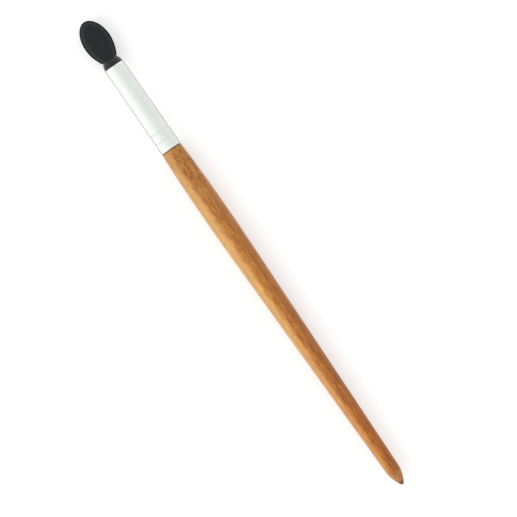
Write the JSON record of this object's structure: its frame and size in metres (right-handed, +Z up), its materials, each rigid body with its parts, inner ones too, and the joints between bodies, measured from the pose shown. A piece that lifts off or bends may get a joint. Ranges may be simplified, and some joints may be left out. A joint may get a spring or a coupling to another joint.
{
  "type": "sponge applicator",
  "caption": "Slim sponge-tip make-up applicator: pointed wooden handle, crimped metal ferrule and a flat egg-shaped foam tip that pulls off its paddle.",
  "frame": {"origin": "on the table under the middle of the applicator's length, as it lies on the belly of its handle", "axes": "+X along the applicator from the pointed tail to the sponge, +Z up out of the sponge's front face, +Y across the sponge"},
  "size_m": [0.17, 0.0088, 0.0077],
  "materials": {
    "wood": "satin",
    "aluminium": "satin",
    "black_plastic": "gloss",
    "foam": "matte",
    "glue": "gloss"
  },
  "bodies": {
    "applicator": {"handle": "wood", "ferrule": "aluminium", "handle_glue": "glue", "holder_glue": "glue", "tip_holder": "black_plastic"},
    "sponge_tip": {"sponge_front": "foam", "sponge_back": "foam"}
  },
  "joints": [
    {"name": "sponge_pull", "type": "slide", "parent": "applicator", "child": "sponge_tip", "axis": [1, 0, 0], "range_m": [0, 0.0125]}
  ]
}
